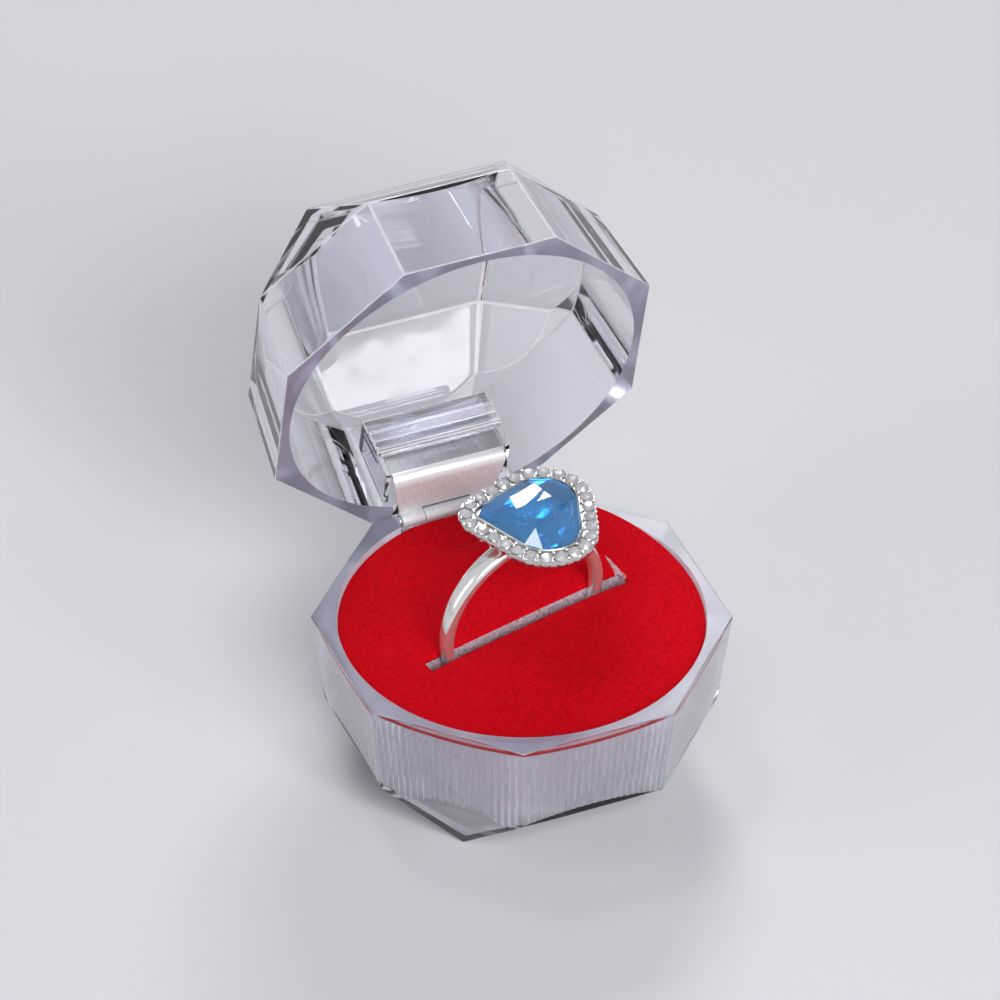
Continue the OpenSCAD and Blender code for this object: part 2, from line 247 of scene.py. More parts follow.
def object_from(name, shape, place=None):
    """Makes an object from a bmesh in millimetres, with its place in its mesh."""
    matrix = Matrix.Scale(MM, 4) @ (place or Matrix())
    shape.transform(matrix)
    if matrix.determinant() < 0:
        bmesh.ops.reverse_faces(shape, faces=shape.faces)
    mesh = bpy.data.meshes.new(name)
    shape.to_mesh(mesh)
    shape.free()
    thing = bpy.data.objects.new(name, mesh)
    bpy.context.scene.collection.objects.link(thing)
    return thing


def settled(thing):
    """Turns a piece with modifiers into a plain mesh."""
    bpy.context.view_layer.update()
    mesh = bpy.data.meshes.new_from_object(thing.evaluated_get(bpy.context.evaluated_depsgraph_get()))
    thing.modifiers.clear()
    old = thing.data
    thing.data = mesh
    bpy.data.meshes.remove(old)
    return thing


def smooth(thing):
    """Shades every face of a piece smooth."""
    for poly in thing.data.polygons:
        poly.use_smooth = True
    return thing


def moved_mm(thing, matrix):
    """Moves a piece's mesh by a matrix given in millimetres."""
    thing.data.transform(Matrix.Scale(MM, 4) @ matrix @ Matrix.Scale(1 / MM, 4))


def cut_with(body, cutters, operation="DIFFERENCE"):
    """Joins the body with the cutters by a boolean, and removes them."""
    for cutter in cutters:
        modifier = body.modifiers.new("cut", "BOOLEAN")
        modifier.operation = operation
        modifier.solver = "EXACT"
        modifier.object = cutter
    settled(body)
    for cutter in cutters:
        mesh = cutter.data
        bpy.data.objects.remove(cutter)
        bpy.data.meshes.remove(mesh)
    return body


def crease(thing, angle=28.0):
    """Smooth faces with crisp edges where they meet at more than the angle."""
    shape = bmesh.new()
    shape.from_mesh(thing.data)
    bmesh.ops.remove_doubles(shape, verts=shape.verts, dist=1e-7)
    bmesh.ops.dissolve_degenerate(shape, dist=1e-7, edges=shape.edges)
    for face in shape.faces:
        face.smooth = True
    for edge in shape.edges:
        edge.smooth = len(edge.link_faces) == 2 and edge.calc_face_angle(0) < math.radians(angle)
    shape.to_mesh(thing.data)
    shape.free()
    return thing


def solid_from(points, faces):
    """A bmesh of the points and faces, with its normals outward."""
    shape = bmesh.new()
    made = [shape.verts.new(p) for p in points]
    for face in faces:
        shape.faces.new([made[i] for i in face])
    bmesh.ops.recalc_face_normals(shape, faces=shape.faces)
    return shape


def box_shape(x, y, z, bevel=0.0, finish=-1):
    """A box between pairs of limits, with its edges bevelled if asked."""
    shape = bmesh.new()
    bmesh.ops.create_cube(shape, size=1)
    bmesh.ops.scale(shape, vec=(x[1] - x[0], y[1] - y[0], z[1] - z[0]), verts=shape.verts)
    middle = ((x[0] + x[1]) / 2, (y[0] + y[1]) / 2, (z[0] + z[1]) / 2)
    bmesh.ops.translate(shape, vec=middle, verts=shape.verts)
    if bevel:
        bmesh.ops.bevel(shape, geom=shape.edges[:], offset=bevel, segments=2, profile=0.5, affect="EDGES",
                        material=finish)
    return shape


def prism_along_x(outline, x):
    """A (y, z) outline given a length along x."""
    count = len(outline)
    points = [(x[0], y, z) for y, z in outline] + [(x[1], y, z) for y, z in outline]
    faces = [list(range(count)), list(range(count, 2 * count))]
    faces += [[i, (i + 1) % count, (i + 1) % count + count, i + count] for i in range(count)]
    return solid_from(points, faces)


def lofted(rings, close_ends=True):
    """Joins rings of equal count, each a closed loop of points."""
    count = len(rings[0])
    points = [p for ring in rings for p in ring]
    faces = []
    for k in range(len(rings) - 1):
        for i in range(count):
            j = (i + 1) % count
            faces.append([k * count + i, k * count + j, (k + 1) * count + j, (k + 1) * count + i])
    if close_ends:
        faces.append([i for i in range(count)][::-1])
        faces.append([(len(rings) - 1) * count + i for i in range(count)])
    return solid_from(points, faces)


def closed_loft(rings):
    """Joins rings round to the first again."""
    shape = lofted(rings + [rings[0]], close_ends=False)
    bmesh.ops.remove_doubles(shape, verts=shape.verts, dist=1e-4)
    bmesh.ops.recalc_face_normals(shape, faces=shape.faces)
    return shape


def circle_at(r, z, steps):
    """A level circle of points."""
    return [Vector((r * math.cos(2 * math.pi * i / steps), r * math.sin(2 * math.pi * i / steps), z))
            for i in range(steps)]


# ---- clear shells ----

def octagon_at(apothem, z):
    """A level octagon with flats towards the axes."""
    reach = apothem / math.cos(math.radians(22.5))
    turns = [math.radians(22.5 + 45 * i) for i in range(8)]
    return [Vector((reach * math.cos(turn), reach * math.sin(turn), z)) for turn in turns]


def square_at(half, z):
    """A level square."""
    return [Vector((math.sqrt(2) * half * math.cos(math.radians(45 + 90 * k)),
                    math.sqrt(2) * half * math.sin(math.radians(45 + 90 * k)), z)) for k in range(4)]


def faceted_shape(low, mid, top):
    """Octagon, second octagon, square turned by an eighth: walls, four triangles, four trapezoids."""
    faces = [list(range(8))]
    faces += [[i, i + 8, (i + 1) % 8 + 8, (i + 1) % 8] for i in range(8)]
    faces += [[i + 8, 16 + i // 2, i + 9] for i in range(0, 8, 2)]
    for i in range(1, 8, 2):
        near = (i - 1) // 2
        faces.append([i + 8, 16 + near, 16 + (near + 1) % 4, (i + 1) % 8 + 8])
    faces += [[19, 18, 17, 16]]
    return solid_from(low + mid + top, faces)


# RIDGE_HIGHLIGHT is a half-white finish that paints a highlight on rounded edges and ribs.
# SATIN_AND_SHADE is the rim's rough satin finish, and its darker colour is painted shade.
CLEAR, SATIN_AND_SHADE, HAZY, RIDGE_HIGHLIGHT = range(4)


def shell_piece(name, shape, finishes):
    """An object that carries all the shell's finishes."""
    thing = object_from(name, shape)
    for material in finishes:
        thing.data.materials.append(material)
    return thing


def half_outside(ridge_highlight_finish):
    """The outer form of either half, with its edges rounded and given the edge finish, which on the lid is a
    painted highlight.
    """
    shape = faceted_shape(octagon_at(RIM_APOTHEM, 0), octagon_at(EDGE_APOTHEM, WALL_H),
                          square_at(TABLE_HALF, HALF_H))
    bmesh.ops.bevel(shape, geom=shape.edges[:], offset=EDGE_ROUND, segments=3, profile=0.5, affect="EDGES",
                    material=ridge_highlight_finish)
    return shape


def wall_r(z):
    """The drafted round wall's radius at a height from the rim."""
    return CAVITY_R - WALL_DRAFT * z / WALL_H


def cavity_facets():
    """The cavity's four sloping facets and its table."""
    mid = octagon_at(EDGE_APOTHEM - SKIN[0], WALL_H - SKIN[1])
    top = square_at(TABLE_HALF - SKIN[2], HALF_H - FLOOR_T)
    spread = [top[i // 2] + (mid[i] - top[i // 2]) * (top[0].z - WALL_H / 2) / (top[0].z - mid[0].z)
              for i in range(8)]
    shape = faceted_shape([Vector((p.x, p.y, -1)) for p in spread], spread, top)
    upper = [e for e in shape.edges if sum(v.co.z for v in e.verts) > WALL_H + 2]
    # The rounded upper edges get a painted highlight.
    bmesh.ops.bevel(shape, geom=upper, offset=CAVITY_ROUND, segments=3, profile=0.5, affect="EDGES",
                    material=RIDGE_HIGHLIGHT)
    return shape


def round_wall(ribbed):
    """The cavity's round wall: plain, or with fine grooves between upright ribs."""
    if not ribbed:
        return lofted([circle_at(wall_r(z), z, 256) for z in (-1.0, 18.0)])
    steps = RIB_COUNT * 4
    rings = []
    for z, depth in ((-1.0, 0.0), (GROOVES_FROM, 0.0), (GROOVES_FULL, RIB_DEPTH), (18.0, RIB_DEPTH)):
        ring = []
        for i in range(steps):
            radius = wall_r(z) + depth * (0, 0.5, 1, 0.5)[i % 4]
            angle = 2 * math.pi * (i + 0.5) / steps
            ring.append(Vector((radius * math.cos(angle), radius * math.sin(angle), z)))
        rings.append(ring)
    return lofted(rings)


def half_cavity(ribbed, finishes):
    """The hollow of either half."""
    cavity = cut_with(shell_piece("cavity_wall", round_wall(ribbed), finishes),
                      [shell_piece("cavity_facets", cavity_facets(), finishes)], "INTERSECT")
    # The smooth cavity's rounded edges get a painted highlight.
    return cavity if ribbed else soften(cavity, 0.1, 14, RIDGE_HIGHLIGHT)


def evened(thing):
    """Keeps the broad faces flat, so that only their rounded edges bend the light."""
    modifier = thing.modifiers.new("even_normals", "WEIGHTED_NORMAL")
    modifier.mode = "FACE_AREA"
    modifier.keep_sharp = True
    return settled(thing)


def finish_shell(shell, back_to_rim, ribbed):
    """The rim gets a satin finish whose darker colour is painted shade, the ribbed wall a hazy one, and the
    rest keeps its own.
    """
    turn = back_to_rim.to_3x3()
    for poly in shell.data.polygons:
        centre = back_to_rim @ (poly.center / MM)
        normal = turn @ poly.normal
        reach = math.hypot(centre.x, centre.y)
        # The rim faces take the satin finish, whose darker colour is painted shade.
        if abs(centre.z) < 0.05 and normal.z < -0.9:
            poly.material_index = SATIN_AND_SHADE
            continue
        inward = normal.x * centre.x + normal.y * centre.y < -0.3 * reach
        if ribbed and inward and abs(reach - wall_r(centre.z)) < 0.35:
            poly.material_index = HAZY


def make_base_shell(finishes):
    """The lower half, turned table down, with room for the hinge."""
    shell = shell_piece("base_shell_clear", half_outside(CLEAR), finishes)
    cut_with(shell, [half_cavity(True, finishes)])
    flipped = IN_BASE @ Matrix.Scale(-1, 4, (0, 0, 1))
    moved_mm(shell, flipped)
    shell.data.flip_normals()
    notch = object_from("notch", box_shape((-6, 6), (17.6, 21), (-1.85, 1), 0.0), IN_BASE)
    leaf_room = object_from("leaf_room", box_shape((-4.85, 4.85), (18.35, 18.75), (-6.55, 1)), IN_BASE)
    cut_with(shell, [notch, leaf_room])
    evened(crease(shell))
    finish_shell(shell, flipped.inverted(), True)
    return shell


def hinge_pocket_parts(finishes):
    """The ribbed ledge, lip, top and cheeks that hold the hinge sheet in the lid."""
    # The ledge and its ribs carry a painted highlight on their rounded edges.
    parts = [box_shape((-7, 7), (12.6, LEAF_Y - 0.05), (3.3, 7.7), 0.14, RIDGE_HIGHLIGHT),
             box_shape((-6.98, 6.98), (12.8, 18.6), (7.05, 7.68), 0.06),
             box_shape((-6.96, 6.96), (LEAF_Y + 0.35, LEAF_Y + 0.85), (3.35, 7.5), 0.05)]
    for side in (-1, 1):
        parts.append(box_shape(sorted((side * 6.35, side * 6.99)), (13.3, 18.55), (0.7, 7.66), 0.1))
    for z in (3.5, 4.6, 5.7):
        parts.append(box_shape((-6.97, 6.97), (12.36, 12.8), (z, z + 0.38), 0.12, RIDGE_HIGHLIGHT))
    return [shell_piece("pocket_part", part, finishes) for part in parts]


def make_lid_shell(finishes):
    """The upper half at its open angle, with the pocket for the hinge sheet."""
    # The lid's rounded outer edges get a painted highlight.
    shell = shell_piece("lid_shell_clear", half_outside(RIDGE_HIGHLIGHT), finishes)
    cut_with(shell, [half_cavity(False, finishes)])
    shell.data.transform(Matrix.Translation((0, 0, LID_GAP * MM)))
    cut_with(shell, hinge_pocket_parts(finishes), "UNION")
    notch = object_from("lid_notch", box_shape((-6, 6), (17.6, 21), (-1, 0.45)))
    sheet_room = object_from("sheet_room", box_shape((-6.25, 6.25), (LEAF_Y - 0.05, LEAF_Y + 0.35),
                                                     (-1, LEAF_TOP + 0.05)))
    cut_with(shell, [notch, sheet_room])
    moved_mm(shell, IN_LID)
    evened(crease(shell))
    finish_shell(shell, (IN_LID @ Matrix.Translation((0, 0, LID_GAP))).inverted(), False)
    return shell


# ---- hinge ----

def sheet_path():
    """Middle line of the lid's sheet in (y, z): down the leaf, round the bend, along to the pin."""
    middle = BEND_MIDDLE_R
    bend_at = (LEAF_Y + SHEET_T / 2 + middle, (WEB_Z[0] + WEB_Z[1]) / 2 + middle)
    path = [(LEAF_Y + SHEET_T / 2, LEAF_TOP - 0.05)]
    for k in range(13):
        angle = math.radians(180 + 90 * k / 12)
        path.append((bend_at[0] + middle * math.cos(angle), bend_at[1] + middle * math.sin(angle)))
    path.append((HINGE_Y - 0.05, path[-1][1]))
    return path


def strip_outline(path, thickness):
    """The outline of a sheet whose middle line is the path."""
    sides = ([], [])
    for i, (y, z) in enumerate(path):
        before, after = path[max(i - 1, 0)], path[min(i + 1, len(path) - 1)]
        run = Vector((after[0] - before[0], after[1] - before[1])).normalized()
        for side, sign in zip(sides, (1, -1)):
            side.append((y - sign * run.y * thickness / 2, z + sign * run.x * thickness / 2))
    return sides[0] + sides[1][::-1]


def tube_outline(r, steps=40):
    """A circle in (y, z) round the hinge line."""
    return [(HINGE_Y + r * math.cos(2 * math.pi * i / steps), HINGE_Z + r * math.sin(2 * math.pi * i / steps))
            for i in range(steps)]


def make_lid_leaf(finishes):
    """The lid's bent sheet. The finishes are three copies of one steel: the leaf's, darkened as painted
    shade, the web's, lightened and made nearly matt as painted light, and the bend's, a painted highlight.
    """
    sheet = object_from("lid_hinge_sheet", prism_along_x(strip_outline(sheet_path(), SHEET_T),
                                                         (-SHEET_HALF_W, SHEET_HALF_W)))
    knuckle = object_from("knuckle", prism_along_x(tube_outline(KNUCKLE_R), (-NECK_HALF_W, NECK_HALF_W)))
    cut_with(sheet, [knuckle], "UNION")
    half = [(SHEET_HALF_W, 13), (SHEET_HALF_W, LEAF_Y + 0.8), (NECK_HALF_W, HINGE_Y - KNUCKLE_R),
            (NECK_HALF_W, 21.5)]
    plan = [(-SHEET_HALF_W, 13)] + half + [(-x, y) for x, y in half[:0:-1]]
    trim = object_from("trim", lofted([[Vector((x, y, z)) for x, y in plan] for z in (-3, 9)]))
    cut_with(sheet, [trim], "INTERSECT")
    middle = object_from("middle", box_shape((-2.8, 2.8), (HINGE_Y - 0.88, 21.5), (-3, 1)))
    bore = object_from("bore", prism_along_x(tube_outline(PIN_R + BORE_GAP), (-7, 7)))
    cut_with(sheet, [middle, bore])
    moved_mm(sheet, IN_LID)
    soften(sheet, 0.04)
    for material in finishes:
        sheet.data.materials.append(material)
    back_to_rim = IN_LID.inverted()
    # Bands by height on one steel: painted shade on the leaf, a painted highlight on the bend, painted light
    # on the web.
    for poly in sheet.data.polygons:
        height = (back_to_rim @ (poly.center / MM)).z
        poly.material_index = 0 if height > LEAF_SHADE_ABOVE else 2 if height > BEND_HIGHLIGHT_ABOVE else 1
    return sheet


def soften(thing, width_mm, angle=40.0, finish=-1):
    """Rounds the edges that are sharper than the angle."""
    modifier = thing.modifiers.new("soft_edges", "BEVEL")
    modifier.width = width_mm * MM
    modifier.segments = 2
    modifier.limit_method = "ANGLE"
    modifier.angle_limit = math.radians(angle)
    modifier.material = finish
    settled(thing)
    return crease(thing)


def make_base_leaf():
    """The base's flat sheet with the middle knuckle."""
    low_z = HINGE_Z - KNUCKLE_R
    leaf = object_from("base_hinge_sheet", box_shape((-BASE_LEAF_HALF_W, BASE_LEAF_HALF_W), BASE_LEAF_Y,
                                                     (BASE_LEAF_LOW, low_z + SHEET_T)), IN_BASE)
    knuckle = object_from("knuckle", prism_along_x(tube_outline(KNUCKLE_R), (-KNUCKLE_X, KNUCKLE_X)), IN_BASE)
    tongue = object_from("tongue", box_shape((-KNUCKLE_X, KNUCKLE_X), (BASE_LEAF_Y[0], HINGE_Y),
                                             (low_z, low_z + SHEET_T)), IN_BASE)
    cut_with(leaf, [tongue, knuckle], "UNION")
    bore = object_from("bore", prism_along_x(tube_outline(PIN_R), (-7, 7)), IN_BASE)
    cut_with(leaf, [bore])
    return soften(leaf, 0.04)


def make_pin():
    """The hinge wire with its flattened ends."""
    wire = prism_along_x(tube_outline(PIN_R), (-PIN_HALF_LEN, PIN_HALF_LEN))
    pin = object_from("hinge_wire", wire, IN_BASE)
    heads = [object_from("head", prism_along_x(tube_outline(PIN_HEAD_R), (x, x + PIN_HEAD_T)), IN_BASE)
             for x in PIN_HEADS_X]
    cut_with(pin, heads, "UNION")
    return soften(pin, 0.07)


# ---- pad ----

def slot_half_w(x):
    """The slot's lips lie close to the band, and open towards the slot's ends."""
    return 0.63 + 0.2 * min(abs(x) / (SLOT_LEN / 2), 1) ** 2


def distance_to_slot(x, y):
    """How far a point lies outside the slot."""
    return math.hypot(max(abs(x) - SLOT_LEN / 2, 0), max(abs(y) - slot_half_w(x), 0))


def bareness(x, y):
    """From 0, flocked, to 1, worn bare: a narrow triangle at the slot's right end."""
    corners = [Vector(c) for c in ((11.7, 0.65), (12.5, -0.7), (12.3, 3.7))]
    inside = 9.0
    for k in range(3):
        a, b = corners[k], corners[(k + 1) % 3]
        along = (b - a).normalized()
        inside = min(inside, along.x * (y - a.y) - along.y * (x - a.x))
    return min(max(0.5 + inside / 0.3, 0), 1)


def swell(x, y):
    """How far the pad rises at a point of the box: a low dome, higher behind the ring, low at the hinge."""
    dome = SWELL_DOME * max(1 - (x * x + y * y) / 18.9 ** 2, 0)
    behind = SWELL_BEHIND * math.exp(-((x - SWELL_AT[0]) ** 2 + (y - SWELL_AT[1]) ** 2) / SWELL_SPREAD)
    to_hinge = math.hypot(max(abs(x) - 6.6, 0), max(13.2 - y, 0))
    return min(dome + behind, 0.28 + 0.5 * to_hinge)


def make_pad_cover():
    """The flocked top: a fine grid in the slot's frame, with the slot left out and its lips turned down."""
    step = PAD_STEP
    turn_back = IN_PAD.inverted() @ IN_BASE
    to_box = turn_back.inverted()
    centre = turn_back @ Vector((0, 0, 0))
    back_normal = (turn_back.to_3x3() @ Vector((0, 1, 0))).xy
    across = [SLOT_W / 2 + step * i for i in range(90)]
    ys = sorted([-y for y in across] + across + [0.0])
    along = [SLOT_LEN / 2 + step * i for i in range(34)]
    inner = [-SLOT_LEN / 2 + step * i for i in range(1, 98)]
    xs = sorted([-x for x in along] + along + [x for x in inner if x < SLOT_LEN / 2 - 0.1])
    shape = bmesh.new()
    grid = {}

    def settle(x, y):
        """Moves a point beside the slot to the slot's lip, and one outside the pad to its edge."""
        if y:
            fade = max(0, 1 - (abs(y) - SLOT_W / 2) / 3) * max(0, 1 - max(abs(x) - SLOT_LEN / 2, 0) / 1.5)
            y += math.copysign((slot_half_w(x) - SLOT_W / 2) * fade, y)
        p = Vector((x - centre.x, y - centre.y))
        outside = p.length > PAD_R
        if outside:
            p = p * (PAD_R / p.length)
        over = p.dot(back_normal) - PAD_BACK
        if over > 0:
            p = p - back_normal * over
        return p, outside or over > 0

    for i, x in enumerate(xs):
        for j, y in enumerate(ys):
            raw = Vector((x - centre.x, y - centre.y))
            if raw.length > PAD_R + 1.5 * step or raw.dot(back_normal) > PAD_BACK + 1.5 * step:
                continue
            p, outside = settle(x, y)
            grid[i, j] = (shape.verts.new((p.x + centre.x, p.y + centre.y, 0)), outside)
    for i in range(len(xs) - 1):
        for j in range(len(ys) - 1):
            keys = [(i, j), (i + 1, j), (i + 1, j + 1), (i, j + 1)]
            if not all(k in grid for k in keys) or all(grid[k][1] for k in keys):
                continue
            if abs(xs[i] + xs[i + 1]) < SLOT_LEN and abs(ys[j] + ys[j + 1]) < SLOT_W:
                continue
            shape.faces.new([grid[k][0] for k in keys])
    bmesh.ops.delete(shape, geom=[v for v in shape.verts if not v.link_faces], context="VERTS")
    bmesh.ops.dissolve_degenerate(shape, dist=1e-4, edges=shape.edges)
    rim = [e for e in shape.edges if len(e.link_faces) == 1]

    def height(v):
        """The flock's height at a point: swell, rounded edge, lips of the slot, waves and pile."""
        x, y = v.co.x, v.co.y
        p = Vector((x - centre.x, y - centre.y))
        in_box = to_box @ Vector((x, y, 0))
        to_edge = max(min(PAD_R - p.length, PAD_BACK - p.dot(back_normal)), 0)
        to_slot = distance_to_slot(x, y)
        raised = swell(in_box.x, in_box.y)
        edge_round = 0.2 * max(0, 1 - to_edge / 0.35) ** 2
        lip = 0.22 * max(0, 1 - to_slot / 0.4) ** 2 + 0.14 * math.exp(-(to_slot / 2.0) ** 2)
        wave = 0.05 * noise.noise(Vector((x * 0.22, y * 0.22, 3)))
        pile = (0.045 * noise.noise(Vector((x * 2.6, y * 2.6, 0)))
                + 0.03 * noise.noise(Vector((x * 6, y * 6, 9))))
        torn = 0.1 * bareness(x, y)
        calm = 1 if to_edge > 0.2 else 0.3
        return PAD_TOP - 0.05 + raised - edge_round - lip - torn + (wave + pile) * calm

    bare = shape.verts.layers.float.new("bare")
    for v in shape.verts:
        v.co.z = height(v)
        v[bare] = bareness(v.co.x, v.co.y)

    def by_slot(v):
        return distance_to_slot(v.co.x, v.co.y) < 0.05 and math.hypot(v.co.x, v.co.y) < 13

    sides = bmesh.ops.extrude_edge_only(shape, edges=rim)["geom"]
    for v in [g for g in sides if isinstance(g, bmesh.types.BMVert)]:
        v.co.z = v.co.z - 0.35 if by_slot(v) else PAD_TOP - 0.95
    loops = [e for e in shape.edges if len(e.link_faces) == 1]
    bmesh.ops.recalc_face_normals(shape, faces=shape.faces)
    lowest = bmesh.ops.extrude_edge_only(shape, edges=loops)["geom"]
    for v in [g for g in lowest if isinstance(g, bmesh.types.BMVert)]:
        if by_slot(v):
            v.co.y += 0.2 if v.co.y > 0 else -0.2
        else:
            p = Vector((v.co.x - centre.x, v.co.y - centre.y))
            p = p * (1 - 0.35 / p.length)
            v.co.x, v.co.y = p.x + centre.x, p.y + centre.y
    return smooth(object_from("pad_flocked_cover", shape, IN_PAD))


def make_foam():
    """White foam under the cover, with the slot cut into it."""
    rings = [circle_at(r, z, 160) for z, r in ((-10.54, 17.6), (-6, 18.05), (-1.14, 18.55))]
    foam = object_from("pad_white_foam", lofted(rings), IN_BASE)
    places = [SLOT_LEN / 2 * (k / 12 - 1) for k in range(25)]
    outline = [(x, slot_half_w(x)) for x in places] + [(x, -slot_half_w(x)) for x in reversed(places)]
    slot = object_from("slot", lofted([[Vector((x, y, z)) for x, y in outline] for z in (-8.47, 2)]), IN_PAD)
    back = object_from("back", box_shape((-20, 20), (18.25, 22), (-20, 4)), IN_BASE)
    cut_with(foam, [slot, back])
    for vertex in foam.data.vertices:
        x, y, z = vertex.co / MM
        if z > HALF_H - 1.3 and math.hypot(x, y) < 14:
            vertex.co.z += swell(x, y) * MM
    return crease(foam)


# ---- ring ----

def side_angle(i):
    """The direction in which the straight side after disc i faces."""
    a, b = STONE_DISCS[i], STONE_DISCS[(i + 1) % 3]
    span = Vector((b[0] - a[0], b[1] - a[1]))
    return math.atan2(span.y, span.x) - math.acos((a[2] - b[2]) / span.length)


def stone_outline(offset, count, phase=0.0):
    """Evenly spaced points and outward directions along the outline that lies outside the middle stone."""
    parts = []
    for i in range(3):
        a, b = STONE_DISCS[i], STONE_DISCS[(i + 1) % 3]
        start, end = side_angle((i - 1) % 3), side_angle(i)
        turn = (end - start) % (2 * math.pi)
        parts.append(("arc", a, start, turn, (a[2] + offset) * turn))
        span = math.hypot(b[0] - a[0], b[1] - a[1])
        parts.append(("side", a, b, end, math.sqrt(span ** 2 - (a[2] - b[2]) ** 2)))
    total = sum(p[4] for p in parts)
    found = []
    for n in range(count):
        s = ((n + phase) / count % 1) * total
        for part in parts:
            if s <= part[4]:
                break
            s -= part[4]
        if part[0] == "arc":
            disc, angle = part[1], part[2] + part[3] * s / part[4]
            reach = disc[2] + offset
            x, y = disc[0] + reach * math.cos(angle), disc[1] + reach * math.sin(angle)
        else:
            a, b, angle, t = part[1], part[2], part[3], s / part[4]
            reach_a, reach_b = a[2] + offset, b[2] + offset
            x = (a[0] + reach_a * math.cos(angle)) * (1 - t) + (b[0] + reach_b * math.cos(angle)) * t
            y = (a[1] + reach_a * math.sin(angle)) * (1 - t) + (b[1] + reach_b * math.sin(angle)) * t
        found.append((x, y, angle))
    return found


def outline_ring(offset, z, count=96):
    """A level ring at a distance outside the middle stone."""
    return [Vector((x, y, z)) for x, y, _ in stone_outline(offset, count)]


def make_band():
    """A half-round band that widens towards the head."""
    steps = 200
    rings = []
    for k in range(steps):
        angle = 2 * math.pi * k / steps
        height = BAND_LIFT + BAND_R * math.sin(angle)
        half = 0.6 + 0.55 * min(max(height / PLATE_Z[0], 0), 1)
        middle_r = (BAND_R + FINGER_R) / 2
        ring = []
        for m in range(20):
            t = 2 * math.pi * m / 20
            across, out = math.cos(t), math.sin(t)
            flat = 0.62 if out > 0 else 0.35
            across = math.copysign(abs(across) ** 0.6, across) * half
            out = math.copysign(abs(out) ** flat, out) if out <= 0 else out ** 0.75
            r = middle_r + out * (BAND_R - FINGER_R) / 2
            ring.append(Vector((r * math.cos(angle), across, BAND_LIFT + r * math.sin(angle))))
        rings.append(ring)
    band = object_from("ring_silver_band", closed_loft(rings), IN_RING)
    top = FINGER_R + BAND_LIFT + 0.45
    gallery = lofted([outline_ring(-0.6, top), outline_ring(-0.2, PLATE_Z[0] + 0.05)])
    gallery = object_from("gallery", gallery, IN_RING)
    hollow = lofted([outline_ring(-1.3, top - 1), outline_ring(-1.0, PLATE_Z[1])])
    hollow = object_from("hollow", hollow, IN_RING)
    cut_with(gallery, [hollow])
    cut_with(band, [gallery], "UNION")
    finger = []
    turns = [2 * math.pi * i / 128 for i in range(128)]
    for y in (-8, 8):
        finger.append([Vector((FINGER_R * math.cos(t), y, BAND_LIFT + FINGER_R * math.sin(t)))
                       for t in turns])
    cut_with(band, [object_from("finger", lofted(finger), IN_RING)])
    return crease(band, 35)


def make_head():
    """The plate that carries the stones, open under the middle one."""
    plate = lofted([outline_ring(1.55, PLATE_Z[0]), outline_ring(1.8, PLATE_Z[0] + 0.25),
                    outline_ring(1.8, PLATE_Z[1] - 0.05)])
    body = object_from("ring_head_plate", plate, IN_RING)
    well = lofted([outline_ring(-0.6, PLATE_Z[0] - 1), outline_ring(-0.35, PLATE_Z[1] + 1)])
    well = object_from("well", well, IN_RING)
    cut_with(body, [well])
    return soften(body, 0.05)


def make_bezel():
    """The thin rim round the middle stone."""
    section = ((0.12, 13.15), (0.36, 13.15), (0.32, 13.4), (0.24, 13.5), (0.14, 13.44))
    rim = closed_loft([outline_ring(offset, z) for offset, z in section])
    return crease(object_from("ring_bezel_rim", rim, IN_RING), 50)


def make_middle_stone():
    """Mixed cut: broad triangles round a small four-sided table, and a pointed pavilion below."""
    count, half = 16, 8
    middle = Vector((0.95, 0.75))

    def pulled(share, phase, z, number=count):
        """The stone's outline, pulled towards its middle to a share of its reach."""
        return [Vector((*(middle + (Vector((x, y)) - middle) * share), z))
                for x, y, _ in stone_outline(0.14, number, phase)]

    crown = pulled(0.55, 0.5, 14.12, half)
    table = [Vector((x, y, 14.38)) for x, y in ((3.7, 3.3), (0.3, 2.75), (-0.15, 0.95), (3.95, 0.55))]
    back_ring = pulled(0.5, 0.0, 12.2, half)
    girdle = pulled(1.0, 0, 13.2) + pulled(1.0, 0, 13.42)
    points = girdle + crown + table + back_ring + [Vector((*middle, 11.3))]
    crown_at, table_at, ring_at, culet = 2 * count, 2 * count + half, 2 * count + half + 4, len(points) - 1

    def turn_of(p):
        return math.atan2(p.y - table_middle.y, p.x - table_middle.x)

    def nearest(p):
        return min(range(4), key=lambda t: abs(math.remainder(turn_of(p) - turn_of(table[t]), 2 * math.pi)))

    table_middle = sum(table, Vector()) / 4
    faces = [[i, (i + 1) % count, (i + 1) % count + count, i + count] for i in range(count)]
    for k in range(half):
        after = (k + 1) % half
        start, mid, end = 2 * k, 2 * k + 1, (2 * k + 2) % count
        for rim, peak, beyond in ((count, crown_at + k, crown_at + after), (0, ring_at + after, ring_at + k)):
            faces += [[rim + start, rim + mid, peak], [rim + mid, rim + end, peak]]
            faces.append([rim + end, beyond, peak] if rim else [rim + start, beyond, peak])
        faces.append([ring_at + k, ring_at + after, culet])
        near, far = nearest(crown[k]), nearest(crown[after])
        faces.append([crown_at + k, crown_at + after, table_at + near])
        if near != far:
            faces.append([crown_at + after, table_at + far, table_at + near])
    faces.append([table_at + t for t in range(4)])
    return object_from("ring_blue_stone", solid_from(points, faces), IN_RING)


